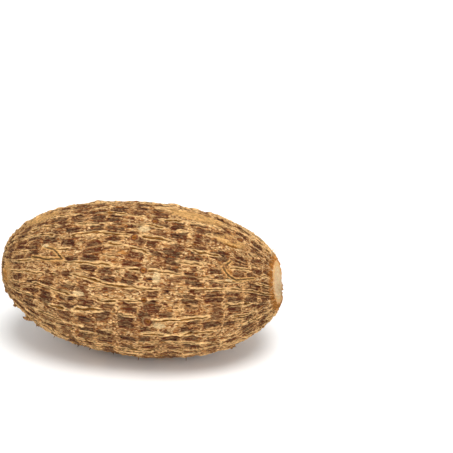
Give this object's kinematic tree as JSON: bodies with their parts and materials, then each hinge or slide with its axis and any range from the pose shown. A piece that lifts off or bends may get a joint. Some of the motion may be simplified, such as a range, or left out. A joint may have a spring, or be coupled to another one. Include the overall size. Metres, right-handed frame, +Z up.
{
  "type": "taro corm",
  "caption": "Whole large taro corm, an elongated oval root vegetable with ringed, cracked fibrous brown skin, lying on its side on a slightly flattened underside.",
  "frame": {"origin": "middle of the corm's bounding box in X and Y, at its base: on the surface it rests on", "axes": "+Z up; +X along the corm's length towards the crown end, where the leaf stalks were cut off; -X is the root end; +Y across it"},
  "size_m": [0.1916, 0.1084, 0.1048],
  "materials": {
    "corm_skin": "dry fibrous bark-like skin, matt, tan ridges over purple-brown scales"
  },
  "bodies": {
    "root": {"corm": "corm_skin"}
  },
  "joints": []
}
